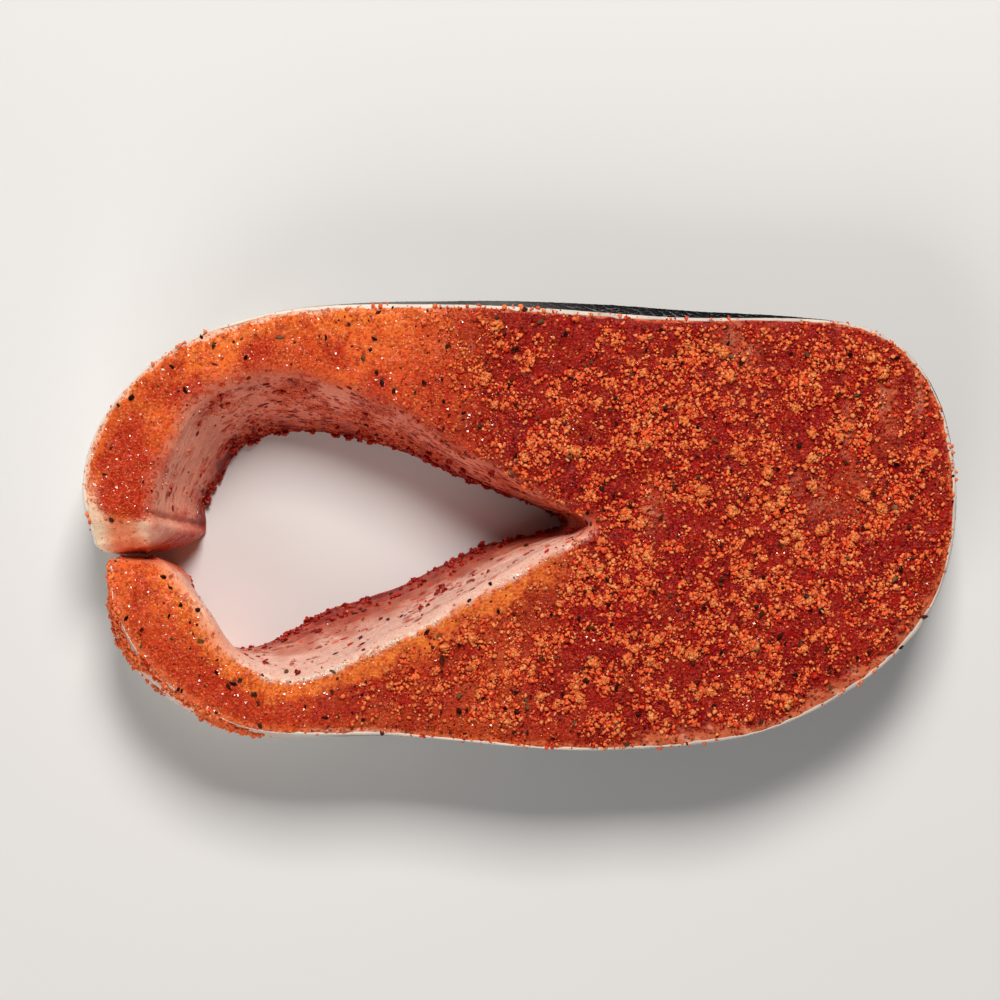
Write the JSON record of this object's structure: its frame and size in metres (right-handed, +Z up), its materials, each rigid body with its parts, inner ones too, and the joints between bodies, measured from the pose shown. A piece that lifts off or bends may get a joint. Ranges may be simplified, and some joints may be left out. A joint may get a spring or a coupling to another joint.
{
  "type": "salmon steak",
  "caption": "Raw salmon steak cut across the fish, its two belly flaps curving round an open cavity, coated on top with orange spice crumbs and cracked pepper.",
  "frame": {"origin": "middle of the bounding box at the lower cut face", "axes": "+X from the belly flaps towards the back of the fish, +Y towards the flank at the top of the picture, +Z up out of the seasoned upper cut face"},
  "size_m": [0.1892, 0.098, 0.0279],
  "materials": {
    "seasoned_flesh": "moist raw salmon under an orange-red spice rub",
    "skin": "thin silvery fish skin, dark on the back and white on the belly",
    "crumbs": "dry orange spice crumbs",
    "pepper": "cracked black pepper"
  },
  "bodies": {
    "root": {"salmon_steak": "seasoned_flesh"}
  },
  "joints": []
}
